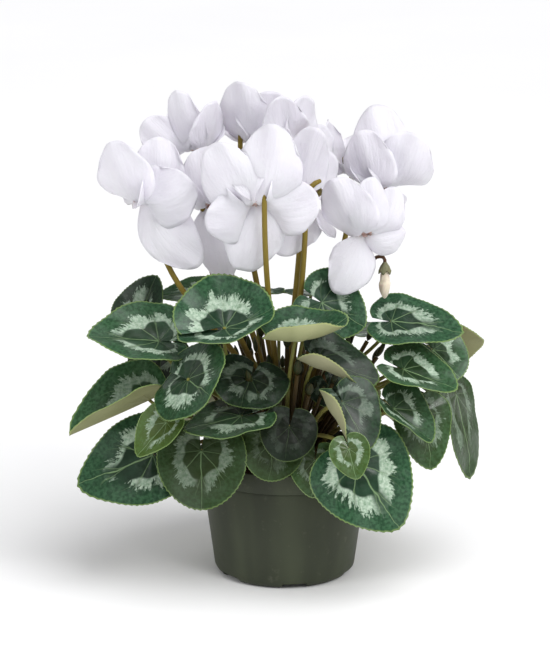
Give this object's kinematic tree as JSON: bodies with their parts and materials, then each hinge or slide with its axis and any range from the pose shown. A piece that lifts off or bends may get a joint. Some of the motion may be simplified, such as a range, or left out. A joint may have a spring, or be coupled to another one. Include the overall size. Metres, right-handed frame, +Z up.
{
  "type": "potted cyclamen",
  "caption": "Pot plant in a round nursery pot: silver-marbled heart-shaped leaves in a low dome under white swept-back flowers on tall stalks.",
  "frame": {"origin": "middle of the flat pad under the pot, on the ground", "axes": "+Z up; -Y towards the viewer of the picture; +X to the viewer's right"},
  "size_m": [0.3112, 0.2552, 0.366],
  "materials": {
    "pot": "satin, dark olive green",
    "potting_mix": "crumbly, matt, dark brown",
    "tuber": "corky, matt",
    "leaf": "satin, blue-green with a silver band",
    "petal": "soft, matt, white",
    "scape": "satin, olive green to brown",
    "bud": "soft, matt, cream"
  },
  "bodies": {
    "root": {"pot": "pot", "potting_mix": "potting_mix", "tuber": "tuber", "leaf_01": "leaf", "leaf_02": "leaf", "leaf_03": "leaf", "leaf_04": "leaf", "leaf_06": "leaf", "leaf_07": "leaf", "leaf_08": "leaf", "leaf_09": "leaf", "leaf_10": "leaf", "leaf_11": "leaf", "leaf_12": "leaf", "leaf_13": "leaf", "leaf_15": "leaf", "leaf_16": "leaf", "leaf_17": "leaf", "leaf_18": "leaf", "leaf_19": "leaf", "leaf_20": "leaf", "leaf_21": "leaf", "leaf_22": "leaf", "leaf_23": "leaf", "leaf_24": "leaf", "leaf_25": "leaf", "leaf_26": "leaf", "leaf_27": "leaf", "leaf_29": "leaf", "leaf_30": "leaf", "leaf_31": "leaf", "leaf_32": "leaf", "leaf_35": "leaf", "far_leaves_1": "leaf", "far_leaves_2": "leaf", "far_leaves_3": "leaf", "far_leaves_4": "leaf", "far_leaves_5": "leaf", "flower_1": "petal", "scape_1": "scape", "flower_2": "petal", "scape_2": "scape", "flower_3": "petal", "scape_3": "scape", "flower_4": "petal", "scape_4": "scape", "flower_5": "petal", "scape_5": "scape", "flower_6": "petal", "scape_6": "scape", "flower_7": "petal", "scape_7": "scape", "flower_8": "petal", "scape_8": "scape", "flower_9": "petal", "scape_9": "scape", "flower_10": "petal", "scape_10": "scape", "bud": "bud", "bud_scape": "scape"}
  },
  "joints": []
}
